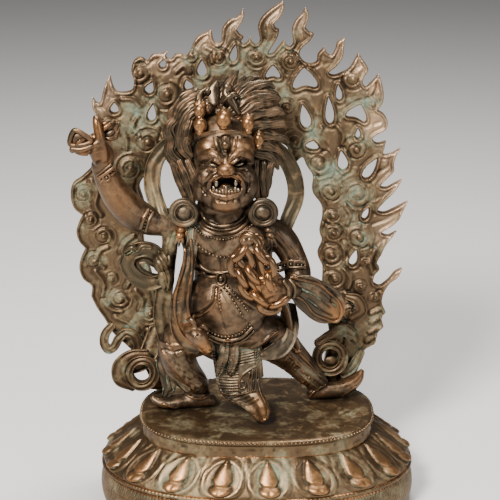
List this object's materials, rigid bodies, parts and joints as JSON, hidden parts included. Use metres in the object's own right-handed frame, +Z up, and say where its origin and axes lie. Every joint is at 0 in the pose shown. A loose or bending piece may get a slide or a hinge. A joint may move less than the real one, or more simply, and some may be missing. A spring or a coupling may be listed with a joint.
{
  "type": "mahakala statue",
  "caption": "Small cast bronze of a wrathful guardian with raised vajra and noose, on an oval lotus base, before a pierced aureole of flames.",
  "frame": {"origin": "centre of the base's flat underside", "axes": "+Z up; the figure faces -Y; +X to the viewer's right, the side of the figure's left hand"},
  "size_m": [0.0999, 0.063, 0.1471],
  "materials": {
    "base_bronze": "dark brown bronze with copper wear and green patina in the hollows",
    "figure_bronze": "dark brown bronze, glossy on raised parts, green patina in the hollows",
    "aureole_bronze": "grey-green brown bronze with rubbed bright flame tips"
  },
  "bodies": {
    "root": {"lotus_base": "base_bronze", "figure": "figure_bronze", "flame_aureole": "aureole_bronze"}
  },
  "joints": []
}
